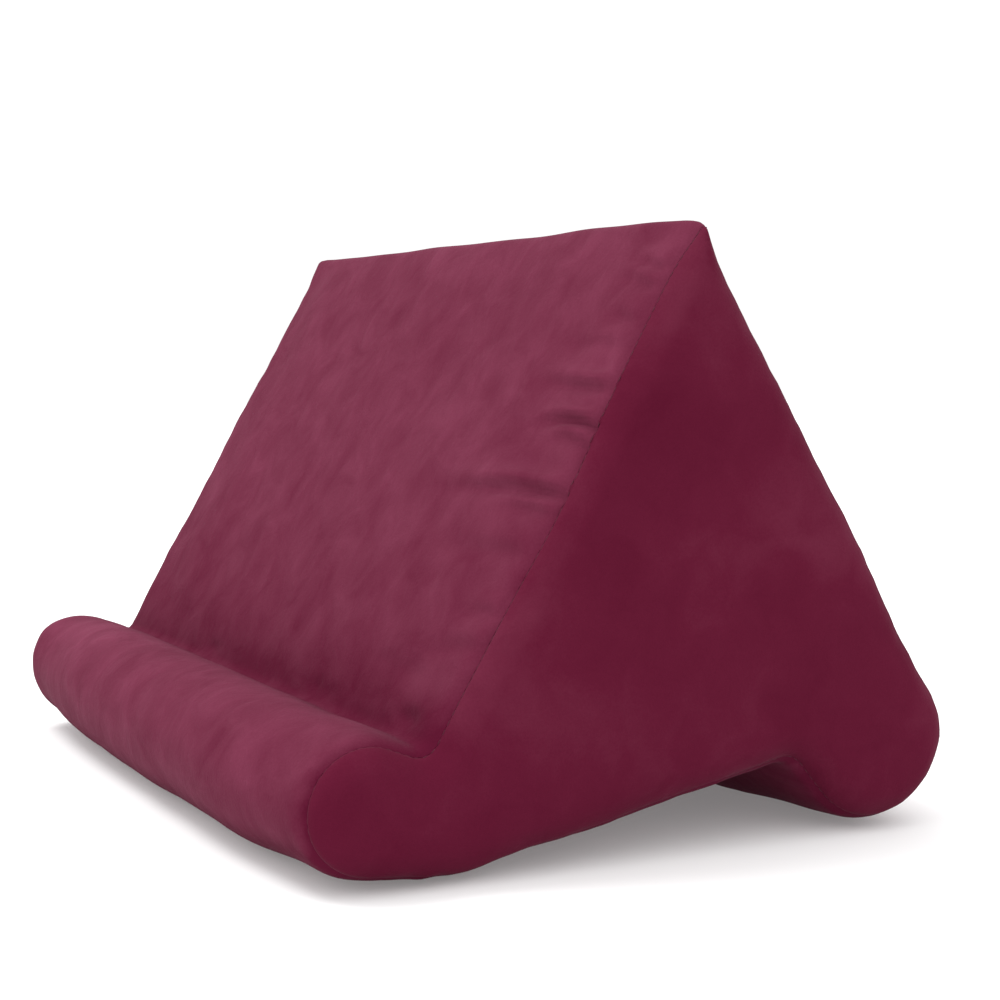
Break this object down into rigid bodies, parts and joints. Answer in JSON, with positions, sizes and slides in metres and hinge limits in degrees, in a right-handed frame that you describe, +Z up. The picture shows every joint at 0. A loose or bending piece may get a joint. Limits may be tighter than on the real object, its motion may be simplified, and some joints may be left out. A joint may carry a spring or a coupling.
{
  "type": "book rest pillow",
  "caption": "Foam wedge pillow with a front roll that forms a ledge, a steep reading slope and an arched base with a rear roll, covered in plain velour.",
  "frame": {"origin": "centre of the footprint of the whole pillow, on the floor", "axes": "+X along the width to the reader's right as seen from the back, along the rolls; +Y from the front roll to the back; +Z up. The reading slope faces -Y and up"},
  "size_m": [0.2998, 0.2241, 0.1862],
  "materials": {
    "velour": "soft short-pile velour, wine red, matt with a pale sheen at grazing angles"
  },
  "bodies": {
    "root": {"wrap_cushion": "velour", "end_panel_right": "velour", "end_panel_left": "velour"}
  },
  "joints": []
}
